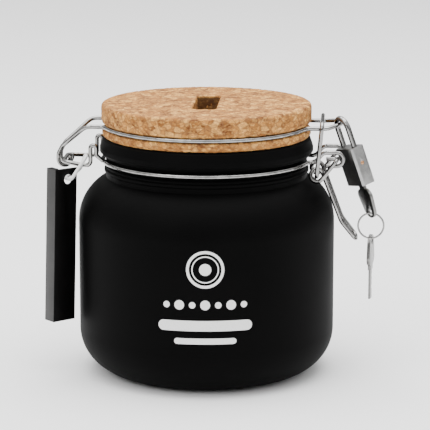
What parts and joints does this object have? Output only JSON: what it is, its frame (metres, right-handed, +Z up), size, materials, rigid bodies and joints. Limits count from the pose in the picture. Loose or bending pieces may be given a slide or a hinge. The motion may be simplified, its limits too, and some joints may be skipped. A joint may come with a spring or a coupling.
{
  "type": "coin bank jar",
  "caption": "Round black savings jar with a slotted cork lid, wire bail latch, small keyed padlock and a hang tag on a plastic loop.",
  "frame": {"origin": "centre of the jar's flat base, on the surface it stands on", "axes": "+Z up along the jar's axis, +X towards the latch and padlock, -X towards the hinge, -Y the front"},
  "size_m": [0.1517, 0.1148, 0.1214],
  "materials": {
    "black_ceramic": "satin black coating",
    "bail_wire": "bright plated wire",
    "cork": "agglomerated cork",
    "shackle_steel": "polished",
    "case_metal": "satin plated",
    "brass": "turned",
    "key_steel": "stamped",
    "loop_plastic": "translucent white",
    "black_card": "matt laminated"
  },
  "bodies": {
    "root": {"jar_body": "black_ceramic", "neck_ring": "bail_wire", "hinge_loop": "bail_wire"},
    "lid": {"cork_lid": "cork", "lid_wire": "bail_wire"},
    "lever": {"lever_wire": "bail_wire"},
    "link": {"link_wire": "bail_wire"},
    "shackle": {"padlock_shackle": "shackle_steel"},
    "lock": {"padlock_case": "case_metal", "case_rivet": "brass", "shackle_spring": "shackle_steel", "latch_spring": "shackle_steel", "driver_pins": "brass"},
    "bolt": {"latch_bolt": "brass"},
    "plug": {"lock_plug": "brass", "key_in_lock": "key_steel"},
    "ring": {"key_ring": "shackle_steel"},
    "hanging_key": {"spare_key": "key_steel"},
    "loop": {"tag_loop": "loop_plastic"},
    "tag": {"hang_tag": "black_card"}
  },
  "joints": [
    {"name": "lid_hinge", "type": "hinge", "parent": "root", "child": "lid", "pos_m": [-0.0635, 0, 0.0955], "axis": [0, -1, 0], "range_deg": [0, 105]},
    {"name": "lever_lift", "type": "hinge", "parent": "root", "child": "lever", "pos_m": [0.0583, 0, 0.0976], "axis": [0, -1, 0], "range_deg": [0, 116]},
    {"name": "link_swing", "type": "hinge", "parent": "lid", "child": "link", "pos_m": [0.0518, 0, 0.1141], "axis": [0, -1, 0], "range_deg": [0, 13]},
    {"name": "padlock_swing", "type": "hinge", "parent": "lid", "child": "shackle", "pos_m": [0.0601, -0.0042, 0.1129], "axis": [-0.3659, -0.9278, -0.072], "range_deg": [0, 106]},
    {"name": "padlock_drop", "type": "slide", "parent": "shackle", "child": "lock", "axis": [0.3256, 0, -0.9455], "range_m": [0, 0.0056]},
    {"name": "bolt_slide", "type": "slide", "parent": "lock", "child": "bolt", "axis": [-0.4728, 0.866, -0.1628], "range_m": [0, 0.0021]},
    {"name": "key_turn", "type": "hinge", "parent": "lock", "child": "plug", "pos_m": [0.0609, -0.0042, 0.1107], "axis": [0.3256, 0, -0.9455], "range_deg": [0, 90]},
    {"name": "ring_swing", "type": "hinge", "parent": "plug", "child": "ring", "pos_m": [0.07383, -0.0042, 0.07266], "axis": [0, -1, 0], "range_deg": [-6, 15]},
    {"name": "key_swing", "type": "hinge", "parent": "ring", "child": "hanging_key", "pos_m": [0.07383, -0.0042, 0.06126], "axis": [0, -1, 0], "range_deg": [-14, 20]},
    {"name": "loop_sway", "type": "hinge", "parent": "root", "child": "loop", "pos_m": [-0.0541, -0.0122, 0.0946], "axis": [1, 0, 0], "range_deg": [-10, 10]},
    {"name": "tag_swing", "type": "hinge", "parent": "loop", "child": "tag", "pos_m": [-0.0605, -0.0158, 0.0889], "axis": [0, 1, 0], "range_deg": [0, 25]}
  ],
  "couplings": [
    {"joint": "link_swing", "follows": "lever_lift", "ratio": 0.08},
    {"joint": "padlock_swing", "follows": "lever_lift", "ratio": 0.9},
    {"joint": "key_turn", "follows": "padlock_drop", "rad_per_m": 280.4},
    {"joint": "bolt_slide", "follows": "padlock_drop", "ratio": 0.357}
  ]
}
